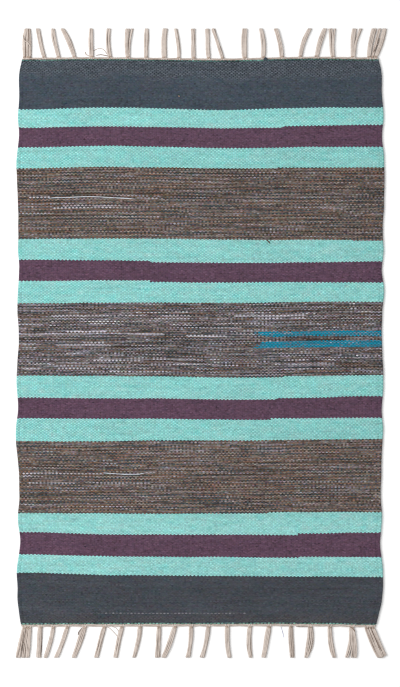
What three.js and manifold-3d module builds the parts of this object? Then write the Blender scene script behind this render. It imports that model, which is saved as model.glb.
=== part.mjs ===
// A small flat-woven cotton rug, lying flat. Millimetres, +Z up, +X across the rug, +Y along it.
// The cloth is one flat sheet. At each end its cotton warps leave it as a narrow corded strip,
// and are knotted off into locks that lie on the floor.

import * as THREE from 'three';
import { mergeVertices } from 'three/addons/utils/BufferGeometryUtils.js';
import Module from 'manifold-3d';

const wasm = await Module();
wasm.setup();

// Driving dimensions
const CLOTH_THICKNESS = 4;
const EDGE_ROUNDING = 1;
const EDGE_ROUNDING_STEPS = 2;
const SIDE_STEPS_PER_ROW = 2;
const END_STEPS_PER_ROW = 2;
const GAP = 0.3;
// How far the locks reach from the middle of the cloth, at each end.
const LOCK_REACH = { top: 476, bottom: 476 };
// The strip of warps at each end: its width along the rug, and its height off the floor.
const STRIP = { top: 3, bottom: 4, height: 3.2 };
// Strands are cut level but for a little: every second one is shorter by the ragged amount.
const STRAND = { pitch: 2.2, height: 2, crown: 0.7, steps: 4, gap: 0.35, ragged: 0.9, raggedSteps: 2 };
// A knot is a low dome. Its spread is its radius across the rug as a share of the lock's width,
// along is its radius along the rug, and out is how far its middle lies out from the strip.
const KNOT = { height: 4.6, spread: 0.62, along: 3.1, sides: 8, out: 1.5 };

// The knot's outline from its flat underside to its top, as shares of its radius and height.
const KNOT_PROFILE = [
  { radius: 0, height: 0 },
  { radius: 0.9, height: 0 },
  { radius: 1, height: 0.4 },
  { radius: 0.62, height: 0.88 },
  { radius: 0, height: 1 },
];

// The cloth's two long edges. They stand out at the pale stripes, draw in at the purple ones and
// round in to the corners. A row gives the place along the rug and the edge to each side there.
const SIDE_EDGES = [
  { y: 428.5, left: -269, right: 270 },
  { y: 416, left: -272, right: 273 },
  { y: 371, left: -273, right: 275 },
  { y: 343.5, left: -275, right: 277.5 },
  { y: 316.5, left: -273.5, right: 275 },
  { y: 280, left: -277, right: 278 },
  { y: 216.5, left: -275, right: 278 },
  { y: 162, left: -274.5, right: 276 },
  { y: 141, left: -275, right: 277.5 },
  { y: 113.5, left: -273, right: 274.5 },
  { y: 80.5, left: -275, right: 278 },
  { y: 44, left: -275.5, right: 275 },
  { y: 7.5, left: -273.5, right: 274.5 },
  { y: -28.5, left: -276, right: 276 },
  { y: -65, left: -277, right: 277 },
  { y: -98, left: -274.5, right: 274.5 },
  { y: -134.5, left: -278.5, right: 276.5 },
  { y: -165, left: -276.5, right: 274.5 },
  { y: -192, left: -274, right: 274 },
  { y: -237.5, left: -273, right: 273 },
  { y: -264.5, left: -275, right: 275 },
  { y: -301, left: -271.5, right: 272 },
  { y: -346.5, left: -277, right: 276.5 },
  { y: -373.5, left: -275.5, right: 276 },
  { y: -391.5, left: -275.5, right: 274.5 },
  { y: -410, left: -273, right: 270 },
  { y: -425.5, left: -270.5, right: 266.5 },
];

// The cloth's two short edges, which wander by a pick or two.
const END_EDGES = [
  { x: -212, top: 429.1, bottom: -425.8 },
  { x: -166.5, top: 429.5, bottom: -424.9 },
  { x: -75.5, top: 428.6, bottom: -424.9 },
  { x: 15, top: 427.4, bottom: -425.2 },
  { x: 75.5, top: 427.9, bottom: -424.2 },
  { x: 151.5, top: 430.1, bottom: -424.5 },
  { x: 227, top: 429.2, bottom: -426.5 },
];

// The locks of each fringe: where a lock is knotted, where it passes halfway out, where it ends,
// and its width at the knot and at its end.
const TOP_LOCKS = [
  { root: -265.5, mid: -266, tip: -264.5, rootWidth: 5.4, tipWidth: 5.4 },
  { root: -257.5, mid: -258, tip: -257, rootWidth: 5.4, tipWidth: 4.4 },
  { root: -236, mid: -242, tip: -244.5, rootWidth: 6.4, tipWidth: 5.4 },
  { root: -214, mid: -219.5, tip: -222.5, rootWidth: 6.4, tipWidth: 5.4 },
  { root: -190.5, mid: -199, tip: -209.5, rootWidth: 5.4, tipWidth: 5 },
  { root: -164, mid: -165, tip: -166, rootWidth: 7.6, tipWidth: 6.8 },
  { root: -136.5, mid: -138, tip: -136.5, rootWidth: 6.8, tipWidth: 5.4 },
  { root: -109, mid: -109.5, tip: -107, rootWidth: 6.8, tipWidth: 12.1 },
  { root: -81.5, mid: -81.5, tip: -80.5, rootWidth: 6.8, tipWidth: 6.5 },
  { root: -54, mid: -53.5, tip: -52, rootWidth: 8.2, tipWidth: 7.3 },
  { root: -32, mid: -33, tip: -37, rootWidth: 5.4, tipWidth: 4.6 },
  { root: -10, mid: -10.5, tip: -10.5, rootWidth: 7.3, tipWidth: 7.3 },
  { root: 13, mid: 11.5, tip: 11.5, rootWidth: 6.4, tipWidth: 5.4 },
  { root: 34, mid: 27.5, tip: 19, rootWidth: 6.4, tipWidth: 4.6 },
  { root: 67.5, mid: 67.5, tip: 69.5, rootWidth: 8.2, tipWidth: 6.4 },
  { root: 95.5, mid: 96, tip: 90, rootWidth: 7.3, tipWidth: 5.4 },
  { root: 123.5, mid: 121, tip: 113.5, rootWidth: 6.4, tipWidth: 5.4 },
  { root: 152, mid: 157.5, tip: 168, rootWidth: 6.4, tipWidth: 5.4 },
  { root: 177, mid: 182, tip: 190, rootWidth: 6.4, tipWidth: 6.4 },
  { root: 201, mid: 199.5, tip: 200.5, rootWidth: 6.4, tipWidth: 10.6 },
  { root: 232, mid: 233, tip: 237, rootWidth: 6.8, tipWidth: 12.9 },
  { root: 256, mid: 258.5, tip: 263.5, rootWidth: 6.4, tipWidth: 7.3 },
  { root: 265.5, mid: 271.5, tip: 280, rootWidth: 6.4, tipWidth: 7.3 },
];

const BOTTOM_LOCKS = [
  { root: -266, mid: -271, tip: -275.5, rootWidth: 7.3, tipWidth: 9.1 },
  { root: -257.5, mid: -260, tip: -262, rootWidth: 5.4, tipWidth: 7.3 },
  { root: -242, mid: -243.5, tip: -245.5, rootWidth: 7.3, tipWidth: 7.3 },
  { root: -222.5, mid: -227.5, tip: -236.5, rootWidth: 6.1, tipWidth: 6.4 },
  { root: -201, mid: -209, tip: -219, rootWidth: 6.4, tipWidth: 5.4 },
  { root: -175, mid: -183, tip: -191.5, rootWidth: 7.3, tipWidth: 5.4 },
  { root: -144.5, mid: -152.5, tip: -158.5, rootWidth: 6.4, tipWidth: 6.4 },
  { root: -118, mid: -123.5, tip: -127.5, rootWidth: 6.4, tipWidth: 6.1 },
  { root: -91, mid: -94, tip: -100.5, rootWidth: 7.3, tipWidth: 4.6 },
  { root: -62, mid: -63, tip: -65, rootWidth: 6.8, tipWidth: 7.3 },
  { root: -39.5, mid: -46, tip: -54.5, rootWidth: 7.3, tipWidth: 7.3 },
  { root: -13.5, mid: -14.5, tip: -18.5, rootWidth: 7.3, tipWidth: 7.3 },
  { root: 12, mid: 9, tip: 4, rootWidth: 6.8, tipWidth: 6.8 },
  { root: 41.5, mid: 41.5, tip: 44.5, rootWidth: 6.8, tipWidth: 5.4 },
  { root: 75.5, mid: 74, tip: 76.5, rootWidth: 7.3, tipWidth: 4.6 },
  { root: 104.5, mid: 100, tip: 96, rootWidth: 8.2, tipWidth: 6.4 },
  { root: 137.5, mid: 138, tip: 139, rootWidth: 6.8, tipWidth: 7.3 },
  { root: 167, mid: 166.5, tip: 160, rootWidth: 8.2, tipWidth: 5.4 },
  { root: 196.5, mid: 198, tip: 202.5, rootWidth: 6.4, tipWidth: 6.4 },
  { root: 229, mid: 230, tip: 229, rootWidth: 8.2, tipWidth: 15.1 },
  { root: 252, mid: 261, tip: 271.5, rootWidth: 6.4, tipWidth: 7.3 },
  { root: 261.5, mid: 270.5, tip: 279.5, rootWidth: 6.4, tipWidth: 6.4 },
];

const FINISH = {
  cloth: { color: 0x8a7f7c, roughness: 0.95, metalness: 0 },
  warp: { color: 0xcbbcae, roughness: 0.9, metalness: 0 },
};

// Shared geometry

// A smooth line through the given points, as a list of points in the same order.
function smoothLine(points, stepsPerRow) {
  return new THREE.SplineCurve(points).getPoints((points.length - 1) * stepsPerRow);
}

// The four corners belong to both tables: the first and last rows of the side edges.
const CORNER = { top: SIDE_EDGES[0], bottom: SIDE_EDGES[SIDE_EDGES.length - 1] };

// The cloth's short edge at one end, left corner to right corner.
function endLine(end) {
  const inner = END_EDGES.map((row) => new THREE.Vector2(row.x, row[end]));
  const left = new THREE.Vector2(CORNER[end].left, CORNER[end].y);
  const right = new THREE.Vector2(CORNER[end].right, CORNER[end].y);
  return smoothLine([left, ...inner, right], END_STEPS_PER_ROW);
}

// The cloth's long edge on one side, top corner to bottom corner.
function sideLine(side) {
  return smoothLine(SIDE_EDGES.map((row) => new THREE.Vector2(row[side], row.y)), SIDE_STEPS_PER_ROW);
}

// A flat piece standing on the floor: its plan outline raised to a height.
function raised(outline, height) {
  return new THREE.ExtrudeGeometry(new THREE.Shape(outline), { depth: height, bevelEnabled: false });
}

// The cloth

function clothGeometry() {
  const outline = [
    ...endLine('top').reverse(),
    ...sideLine('left').slice(1),
    ...endLine('bottom').slice(1),
    ...sideLine('right').reverse().slice(1, -1),
  ];
  const geometry = new THREE.ExtrudeGeometry(new THREE.Shape(outline), {
    depth: CLOTH_THICKNESS - 2 * EDGE_ROUNDING,
    bevelThickness: EDGE_ROUNDING,
    bevelSize: EDGE_ROUNDING,
    bevelOffset: -EDGE_ROUNDING,
    bevelSegments: EDGE_ROUNDING_STEPS,
  });
  return geometry.translate(0, 0, EDGE_ROUNDING);
}

// The fringes

function toSolid(geometry) {
  geometry.deleteAttribute('normal');
  geometry.deleteAttribute('uv');
  const merged = mergeVertices(geometry);
  return new wasm.Manifold(new wasm.Mesh({
    numProp: 3,
    vertProperties: new Float32Array(merged.attributes.position.array),
    triVerts: new Uint32Array(merged.index.array),
  }));
}

function toGeometry(solid) {
  const mesh = solid.getMesh();
  const geometry = new THREE.BufferGeometry();
  geometry.setAttribute('position', new THREE.BufferAttribute(mesh.vertProperties, 3));
  geometry.setIndex(new THREE.BufferAttribute(mesh.triVerts, 1));
  return geometry;
}

// The height of an end line above or below a place across the rug.
function heightOn(line, x) {
  const after = Math.max(1, line.findIndex((point) => point.x >= x));
  const a = line[after - 1];
  const b = line[after];
  return THREE.MathUtils.lerp(a.y, b.y, THREE.MathUtils.clamp((x - a.x) / (b.x - a.x), 0, 1));
}

// The corded strip of warps along the cloth's end, one gap away from it.
function stripSolid(end, line, outward) {
  const near = line.map((point) => new THREE.Vector2(point.x, point.y + outward * GAP));
  const far = line.map((point) => new THREE.Vector2(point.x, point.y + outward * (GAP + STRIP[end])));
  return toSolid(raised([...near, ...far.reverse()], STRIP.height));
}

// One strand of a lock. Its middle runs on a parabola through the knot, the halfway place and the
// end, and it keeps its share of the lock's width, so strands fan out where the lock widens.
function strandSolid(lock, index, count, baseY, outward, reach) {
  const share = (index + 0.5) / count - 0.5;
  const left = [];
  const right = [];
  const endY = outward * (reach - STRAND.ragged * (index % STRAND.raggedSteps));
  for (let step = 0; step <= STRAND.steps; step += 1) {
    const t = step / STRAND.steps;
    const middle = lock.root * (1 - t) * (1 - 2 * t) + lock.mid * 4 * t * (1 - t) + lock.tip * t * (2 * t - 1);
    const width = THREE.MathUtils.lerp(lock.rootWidth, lock.tipWidth, t);
    const half = (Math.min(width, lock.rootWidth) / count - STRAND.gap) / 2;
    const x = middle + share * width;
    const y = THREE.MathUtils.lerp(baseY, endY, t);
    left.push(new THREE.Vector2(x - half, y));
    right.push(new THREE.Vector2(x + half, y));
  }
  const inner = index > 0 && index < count - 1;
  return toSolid(raised([...left, ...right.reverse()], STRAND.height + (inner ? STRAND.crown : 0)));
}

// The knot that gathers a lock: a low dome with a flat underside.
function knotSolid(lock, y) {
  const radius = lock.rootWidth * KNOT.spread;
  const profile = KNOT_PROFILE.map((row) => new THREE.Vector2(row.radius * radius, row.height * KNOT.height));
  const dome = new THREE.LatheGeometry(profile, KNOT.sides);
  dome.rotateX(Math.PI / 2);
  dome.scale(1, KNOT.along / radius, 1);
  dome.translate(lock.root, y, 0);
  return toSolid(dome);
}

function fringeGeometry(end, locks) {
  const outward = end === 'top' ? 1 : -1;
  const line = endLine(end);
  let solid = stripSolid(end, line, outward);
  for (const lock of locks) {
    const knotY = heightOn(line, lock.root) + outward * (GAP + STRIP[end] + KNOT.out);
    solid = solid.add(knotSolid(lock, knotY));
    const count = Math.max(2, Math.round(lock.rootWidth / STRAND.pitch));
    for (let index = 0; index < count; index += 1) {
      solid = solid.add(strandSolid(lock, index, count, knotY, outward, LOCK_REACH[end]));
    }
  }
  return toGeometry(solid);
}

// The rug, stood on the floor with its origin under the middle of its outer box

const rug = new THREE.Group();

function addPiece(name, geometry, finish) {
  const mesh = new THREE.Mesh(geometry, new THREE.MeshStandardMaterial(finish));
  mesh.name = name;
  rug.add(mesh);
}

addPiece('rug_body', clothGeometry(), FINISH.cloth);
addPiece('fringe_top', fringeGeometry('top', TOP_LOCKS), FINISH.warp);
addPiece('fringe_bottom', fringeGeometry('bottom', BOTTOM_LOCKS), FINISH.warp);

const middle = new THREE.Box3().setFromObject(rug, true).getCenter(new THREE.Vector3());
rug.position.set(-middle.x, -middle.y, 0);

export default rug;
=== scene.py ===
"""A small flat-woven cotton rug with cross stripes and a knotted fringe at each end, lying flat.

Lengths in the tables are millimetres from the middle of the cloth, +X to the right and +Y to the
fringe that is uppermost in the photograph. Meshes are in metres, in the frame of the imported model.
"""

import bpy
import numpy as np
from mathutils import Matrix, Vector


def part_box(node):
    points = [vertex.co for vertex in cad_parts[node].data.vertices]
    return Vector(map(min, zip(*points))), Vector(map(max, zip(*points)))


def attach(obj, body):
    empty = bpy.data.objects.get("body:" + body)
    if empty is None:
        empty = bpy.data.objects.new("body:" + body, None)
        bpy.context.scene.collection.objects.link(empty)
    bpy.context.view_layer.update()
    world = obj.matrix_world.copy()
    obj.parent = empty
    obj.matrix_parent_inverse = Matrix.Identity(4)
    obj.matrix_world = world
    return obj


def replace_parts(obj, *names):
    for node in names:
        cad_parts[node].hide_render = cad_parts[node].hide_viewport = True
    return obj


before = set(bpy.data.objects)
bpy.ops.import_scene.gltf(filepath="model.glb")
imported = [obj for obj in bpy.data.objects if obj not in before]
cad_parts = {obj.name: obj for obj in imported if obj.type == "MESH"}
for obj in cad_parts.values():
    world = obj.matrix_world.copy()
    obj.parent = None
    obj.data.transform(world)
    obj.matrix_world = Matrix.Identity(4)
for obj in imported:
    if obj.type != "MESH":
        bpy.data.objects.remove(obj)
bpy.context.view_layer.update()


# The cloth and its slate end stripes
# One piece of weft-faced plain weave: thick cotton weft is beaten down over thin cotton warps
# until it hides them. Every stripe is a run of dyed weft. Slate ones finish both ends, and the very
# first and last two picks are sea-green.

MM = 0.001
CLOTH_HALF_WIDTH = 277.0
WARPS = 197

# The stripes in weaving order from the top end, with the number of weft picks in each.
STRIPES = (
    ("slate_top", 66), ("mint_1", 24), ("plum_1", 29), ("mint_2", 27), ("marl_1", 98),
    ("mint_3", 27), ("plum_2", 29), ("mint_4", 27), ("marl_2", 100), ("mint_5", 28),
    ("plum_3", 30), ("mint_6", 29), ("marl_3", 99), ("mint_7", 27), ("plum_4", 32),
    ("mint_8", 25), ("slate_bottom", 67),
)
STRIPE_NAMES = [name for name, picks in STRIPES]
FIRST_PICKS = np.concatenate([[0], np.cumsum([picks for name, picks in STRIPES])])

# Where the lines between stripes lie along the rug, at seven places across it. They wander,
# because the weft is beaten down by hand.
STRIPE_LINE_PLACES = (-246, -155, -76, 49, 117, 163, 253)
STRIPE_LINES = (
    (428.7, 429.5, 428.6, 427.6, 429.2, 430.1, 429.1),
    (353.6, 356.6, 355.6, 352.7, 355.2, 356.2, 356.6),
    (328.2, 330.0, 329.2, 327.4, 328.2, 328.9, 330.4),
    (296.2, 298.5, 297.5, 295.0, 295.9, 296.8, 297.0),
    (265.5, 267.8, 267.2, 265.4, 265.7, 265.7, 265.8),
    (156.7, 157.0, 156.9, 155.4, 154.8, 155.2, 154.9),
    (126.3, 125.3, 124.7, 123.7, 123.9, 124.4, 126.0),
    (91.5, 92.7, 92.4, 91.5, 92.3, 92.1, 91.7),
    (60.2, 61.0, 61.3, 60.8, 61.6, 62.5, 62.5),
    (-49.2, -49.8, -50.1, -52.2, -51.7, -50.8, -49.6),
    (-80.3, -81.6, -81.6, -83.4, -83.2, -82.6, -80.0),
    (-113.8, -114.4, -114.4, -115.9, -116.0, -115.8, -115.1),
    (-148.4, -148.7, -147.2, -147.2, -146.8, -146.0, -145.1),
    (-257.2, -257.7, -258.1, -257.8, -257.2, -256.7, -256.9),
    (-283.8, -287.1, -287.5, -287.6, -288.1, -288.2, -286.6),
    (-319.9, -322.3, -323.3, -323.8, -324.7, -324.5, -324.8),
    (-347.4, -350.6, -351.5, -352.5, -353.1, -353.1, -353.9),
    (-425.5, -424.9, -424.8, -424.6, -424.4, -424.5, -425.9),
)

# The two long edges: place along the rug, left edge, right edge.
SIDE_EDGES = (
    (428.5, -269, 270), (416, -272, 273), (371, -273, 275), (343.5, -275, 277.5),
    (316.5, -273.5, 275), (280, -277, 278), (216.5, -275, 278), (162, -274.5, 276),
    (141, -275, 277.5), (113.5, -273, 274.5), (80.5, -275, 278), (44, -275.5, 275),
    (7.5, -273.5, 274.5), (-28.5, -276, 276), (-65, -277, 277), (-98, -274.5, 274.5),
    (-134.5, -278.5, 276.5), (-165, -276.5, 274.5), (-192, -274, 274), (-237.5, -273, 273),
    (-264.5, -275, 275), (-301, -271.5, 272), (-346.5, -277, 276.5), (-373.5, -275.5, 276),
    (-391.5, -275.5, 274.5), (-410, -273, 270), (-425.5, -270.5, 266.5),
)

# The cloth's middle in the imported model, whose origin is under the middle of its outer box.
body_low, body_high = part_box("rug_body")
EDGE_TABLE = np.array(SIDE_EDGES, float)
CLOTH_X = (body_low.x + body_high.x) / 2 / MM - (EDGE_TABLE[:, 1].min() + EDGE_TABLE[:, 2].max()) / 2
CLOTH_Y = (body_low.y + body_high.y) / 2 / MM - (np.max(STRIPE_LINES) + np.min(STRIPE_LINES)) / 2

# Heights of the woven face over the floor. The underside is the same weave turned over.
THICKNESS = 4.1
CREST = 4.1
VALLEY = 3.6
RIM_BULGE = 0.7

# How far the pointed ends of the floats reach past the line between two warps, in warps, inside the
# cloth and at its long edges.
POINT_LENGTH = 0.3
RIM_POINT_LENGTH = 0.08

# The outer warps carry fuller floats, with a groove beside them, because the weft turns there.
SELVEDGE = {"warps": 2, "height": 0.25, "groove": 0.4}

# What the hand leaves: the spread of the floats' heights and how many spreads are the most, and how
# warps and picks sway, as a share of their pitch, with the pace of the wave, and of the slower one
# that bends it.
HEIGHT_SPREAD = 0.1
MOST_SPREADS = 2
WARP_SWAY = {"share": 0.07, "pace": 0.71, "bend": 5, "bend_pace": (0.043, 0.02)}
PICK_SWAY = {"share": 0.2, "pace": 1.31, "bend": 4, "bend_pace": (0.061, 0.37)}

# The kinds of points of a stripe's mesh.
LOW_POINT, CREST_POINT, RIM_POINT = 0, 1, 2


def smooth_through(at, places, values):
    """A cubic on each stretch between table rows. Its slope at a row is the mean slope around it."""
    places, values = np.asarray(places, float), np.asarray(values, float)
    slopes = np.gradient(values, places)
    row = np.clip(np.searchsorted(places, at) - 1, 0, len(places) - 2)
    step = places[row + 1] - places[row]
    t = np.clip((at - places[row]) / step, 0, 1)
    ends = values[row] * (2 * t**3 - 3 * t**2 + 1) + values[row + 1] * (3 * t**2 - 2 * t**3)
    return ends + step * (slopes[row] * (t**3 - 2 * t**2 + t) + slopes[row + 1] * (t**3 - t**2))


def swayed(number, other, sway):
    """A warp's or pick's number plus a share of the sine of itself and of a slower, deeper sine."""
    other_pace, own_pace = sway["bend_pace"]
    bend = sway["bend"] * np.sin(other * other_pace + number * own_pace)
    return number + sway["share"] * np.sin(number * sway["pace"] + bend)


def place_on_cloth(column, pick):
    """The place of a warp and a pick. Along the rug it is shared out between the stripe's lines,
    across the rug between the two long edges there, and both sway a little."""
    across = (column + 0.5) / WARPS
    column = swayed(column, pick, WARP_SWAY)
    pick = swayed(pick, column, PICK_SWAY)
    nominal = (2 * across - 1) * CLOTH_HALF_WIDTH
    lines = np.stack([smooth_through(nominal, STRIPE_LINE_PLACES, line) for line in STRIPE_LINES])
    stripe = np.clip(np.searchsorted(FIRST_PICKS - 0.5, pick) - 1, 0, len(STRIPES) - 1)
    share = (pick - FIRST_PICKS[stripe] + 0.5) / (FIRST_PICKS[stripe + 1] - FIRST_PICKS[stripe])
    item = np.arange(len(pick))
    y = lines[stripe, item] * (1 - share) + lines[stripe + 1, item] * share
    left = smooth_through(y, EDGE_TABLE[::-1, 0], EDGE_TABLE[::-1, 1])
    right = smooth_through(y, EDGE_TABLE[::-1, 0], EDGE_TABLE[::-1, 2])
    x = left + (column + 0.5) / WARPS * (right - left)
    return x + CLOTH_X, y + CLOTH_Y


def face_floats(rows, odd):
    """Where a face has its floats in a run of picks: the upper face where warp plus pick is even, the
    underside where it is odd. Returns them as a table, the rows and warps of those that are not in
    the outermost rows, and for each warp the rows where its floats meet the two stripe lines."""
    warps = np.arange(WARPS)
    lies = (warps[None, :] + rows[:, None]) % 2 == odd
    row, warp = np.nonzero(lies)
    inside = (row > 0) & (row < len(rows) - 1)
    first = np.where(lies[1], 0, 1)
    last = np.where(lies[-2], len(rows) - 1, len(rows) - 2)
    return lies, row[inside], warp[inside], first, last


def upper_point(border, row):
    """The number of the upper face's point at a border between warps, counted row by row."""
    return row * (WARPS + 1) + border


def lower_point(warp, row):
    """The number of the underside's point at a warp. Each row has one more point at both sides."""
    return row * (WARPS + 2) + warp + 1


def upper_face(rows, rng):
    """The upper face of a run of picks. A float lies where warp plus pick is even. It is a
    six-sided cell two picks high, pointed at both ends where the yarn dives between warps, with a
    fan of triangles up to its crest. Returns a dictionary of arrays that woven_stripe joins."""
    borders = np.arange(WARPS + 1)
    side = np.where((borders[None, :] - 1 + rows[:, None]) % 2 == 0, 1, -1)
    reach = np.where((borders == 0) | (borders == WARPS), RIM_POINT_LENGTH, POINT_LENGTH)
    edge_border = np.minimum(borders, WARPS - borders)
    groove = VALLEY - SELVEDGE["groove"] * (edge_border == SELVEDGE["warps"])
    row, warp, first, last = face_floats(rows, 0)[1:]
    edge_warp = np.minimum(warp, WARPS - 1 - warp)
    crest = CREST + HEIGHT_SPREAD * rng.standard_normal(len(row)).clip(-MOST_SPREADS, MOST_SPREADS)
    crest = crest + SELVEDGE["height"] * (edge_warp < SELVEDGE["warps"])
    column = np.concatenate([(borders[None, :] - 0.5 + reach[None, :] * side).ravel(), warp])
    pick = np.concatenate([np.repeat(rows, WARPS + 1), rows[row]]).astype(float)
    x, y = place_on_cloth(column, pick)
    z = np.concatenate([np.tile(groove, len(rows)), crest])
    centre = upper_point(0, len(rows)) + np.arange(len(row))
    heights = np.array([0, -1, -1, 0, 1, 1])
    rim = [upper_point(warp + right, row - up) for right, up in zip((0, 0, 1, 1, 1, 0), heights)]
    fans = [np.stack([rim[turn], rim[(turn + 1) % 6], centre], axis=1) for turn in range(6)]
    lay = np.array([[heights[turn], heights[(turn + 1) % 6], 0] for turn in range(6)])
    kinds = np.full(len(z), CREST_POINT)
    kinds[:centre[0]] = np.tile(np.where(edge_border == 0, RIM_POINT, LOW_POINT), len(rows))
    warps = np.arange(WARPS)
    ends = [
        np.stack([upper_point(warps, line), upper_point(warps + 1, line)], axis=1).ravel()
        for line in (first, last)
    ]
    sides = [
        upper_point(border, np.arange(first[hand], last[hand] + 1))
        for hand, border in ((0, 0), (-1, WARPS))
    ]
    return {
        "points": np.stack([x, y, z], axis=1), "triangles": np.stack(fans, axis=1).reshape(-1, 3),
        "lay": np.tile(lay, (len(row), 1)), "warp": np.repeat(warp, 6),
        "pick": np.repeat(rows[row], 6), "kinds": kinds, "ends": ends, "sides": sides,
    }


def lower_face(rows, rng):
    """The underside of a run of picks, where a float lies where warp plus pick is odd. Each float is
    a four-sided pyramid between the places where its neighbours dive, with a strip down each long
    edge. Returns the same arrays as upper_face, facing down."""
    across = np.concatenate([[-0.5], np.arange(WARPS), [WARPS - 0.5]])
    lies, row, warp, first, last = face_floats(rows, 1)
    row_grid, column_grid = np.meshgrid(rows, across, indexing="ij")
    crested = np.zeros(row_grid.shape, bool)
    crested[:, 1:-1] = lies
    rough = HEIGHT_SPREAD * rng.standard_normal(row_grid.shape).clip(-MOST_SPREADS, 0)
    depth = np.where(crested, THICKNESS - CREST - rough, THICKNESS - VALLEY)
    x, y = place_on_cloth(column_grid.ravel(), row_grid.ravel().astype(float))
    heights = np.array([0, 1, 0, -1])
    ring = [lower_point(warp + right, row - up) for right, up in zip((1, 0, -1, 0), heights)]
    triangles, lay, owner = [], [], []
    for turn in range(4):
        here = (warp < WARPS - 1) if turn in (0, 3) else (warp > 0)
        fan = np.stack([lower_point(warp, row), ring[(turn + 1) % 4], ring[turn]], axis=1)
        triangles.append(fan[here])
        lay.append(np.tile([0, heights[(turn + 1) % 4], heights[turn]], (here.sum(), 1)))
        owner.append(np.stack([warp, rows[row]], axis=1)[here])
    sides = []
    for hand, outer, inner in ((0, -1, 0), (-1, WARPS, WARPS - 1)):
        down = np.arange(first[hand], last[hand] + 1)
        strip = strip_of(lower_point(outer, down), lower_point(inner, down))
        triangles.append(strip[:, ::-1] if hand == 0 else strip)
        lay.append(np.zeros_like(strip))
        middle = np.tile(rows[down[:-1]], 2)
        owner.append(np.stack([np.full(len(strip), inner), middle.clip(rows[1], rows[-2])], axis=1))
        sides.append(lower_point(outer, down))
    every = np.arange(-1, WARPS + 1)
    ends = [lower_point(every, np.pad(line, 1, mode="edge")) for line in (first, last)]
    kinds = np.where(crested, CREST_POINT, LOW_POINT)
    kinds[:, [0, -1]] = RIM_POINT
    owner = np.concatenate(owner)
    return {
        "points": np.stack([x, y, depth.ravel()], axis=1), "triangles": np.concatenate(triangles),
        "lay": np.concatenate(lay), "warp": owner[:, 0], "pick": owner[:, 1], "kinds": kinds.ravel(),
        "ends": ends, "sides": sides,
    }


def strip_of(one, two):
    """The triangles of a wall between two lines of points that have the same number of points."""
    quads = np.stack([one[:-1], one[1:], two[1:], two[:-1]], axis=1)
    return np.concatenate([quads[:, [0, 1, 2]], quads[:, [0, 2, 3]]])


def zip_lines(one, two, place_one, place_two):
    """The triangles of a wall between two lines of points that need not match. The steps of both
    lines are taken in the order of their middles, each with the point reached on the other line."""
    middle_one = (place_one[one[:-1]] + place_one[one[1:]]) / 2
    middle_two = (place_two[two[:-1]] + place_two[two[1:]]) / 2
    reached_two = np.searchsorted(middle_two, middle_one, side="left")
    reached_one = np.searchsorted(middle_one, middle_two, side="right")
    return np.concatenate([
        np.stack([one[:-1], one[1:], two[reached_two]], axis=1),
        np.stack([one[reached_one], two[1:], two[:-1]], axis=1),
    ])


def evened(line, count):
    """A line of points taken again at a count of even steps between its ends."""
    share, own = np.linspace(0, 1, count), np.linspace(0, 1, len(line))
    return np.stack([np.interp(share, own, line[:, axis]) for axis in range(3)], axis=1)


def woven_stripe(name, seed):
    """A stripe of the cloth as one closed mesh: its upper face, its underside, a wall along each
    stripe line and a rounded rim down each long edge, zipped to both faces."""
    rng = np.random.default_rng(seed)
    stripe = STRIPE_NAMES.index(name)
    rows = np.arange(FIRST_PICKS[stripe] - 1, FIRST_PICKS[stripe + 1] + 1)
    top, under = upper_face(rows, rng), lower_face(rows, rng)
    shift = len(top["points"])
    points = [top["points"], under["points"]]
    both = np.concatenate(points)
    across, down = both[:, 0], -both[:, 1]
    under_ends = [line + shift for line in under["ends"]]
    walls = [
        zip_lines(top["ends"][0], under_ends[0], across, across),
        zip_lines(under_ends[1], top["ends"][1], across, across),
    ]
    start = len(both)
    for hand, outward in ((0, -1), (1, 1)):
        upper, lower = top["sides"][hand], under["sides"][hand] + shift
        count = min(len(upper), len(lower)) - 1
        rim_points = (evened(both[upper], count) + evened(both[lower], count)) / 2
        rim_points[:, 0] += outward * RIM_BULGE
        rim = start + np.arange(count)
        start += count
        points.append(rim_points)
        rim_down = np.concatenate([down, np.zeros(start - len(down))])
        rim_down[rim] = -rim_points[:, 1]
        wall = np.concatenate([
            zip_lines(rim, upper, rim_down, rim_down), zip_lines(lower, rim, rim_down, rim_down),
            [[lower[0], rim[0], upper[0]], [upper[-1], rim[-1], lower[-1]]],
        ])
        walls.append(wall if hand == 0 else wall[:, ::-1])
    wall = np.concatenate(walls)
    points = np.concatenate(points)
    wall_middle = points[wall].mean(axis=1)
    wall_warp = ((wall_middle[:, 0] - CLOTH_X) / (2 * CLOTH_HALF_WIDTH) + 0.5) * WARPS
    reach = wall_middle[:, 1].max() - wall_middle[:, 1]
    wall_pick = rows[1] + reach / reach.max() * (len(rows) - 2)
    pick = np.concatenate([top["pick"], under["pick"], wall_pick.astype(int)]) - rows[1]
    return {
        "points": points * MM,
        "triangles": np.concatenate([top["triangles"], under["triangles"] + shift, wall]),
        "kinds": np.concatenate([top["kinds"], under["kinds"], np.full(len(points) - len(both), RIM_POINT)]),
        "warp": np.concatenate([top["warp"], under["warp"], wall_warp.astype(int)]).clip(0, WARPS - 1),
        "pick": pick.clip(0, len(rows) - 3),
        "lay": np.concatenate([top["lay"], under["lay"], np.zeros_like(wall)]),
        "upper_triangles": len(top["triangles"]),
    }


def show(name, data):
    """Puts an object with this mesh, camera or lamp into the scene."""
    item = bpy.data.objects.new(name, data)
    bpy.context.scene.collection.objects.link(item)
    return item


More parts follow.
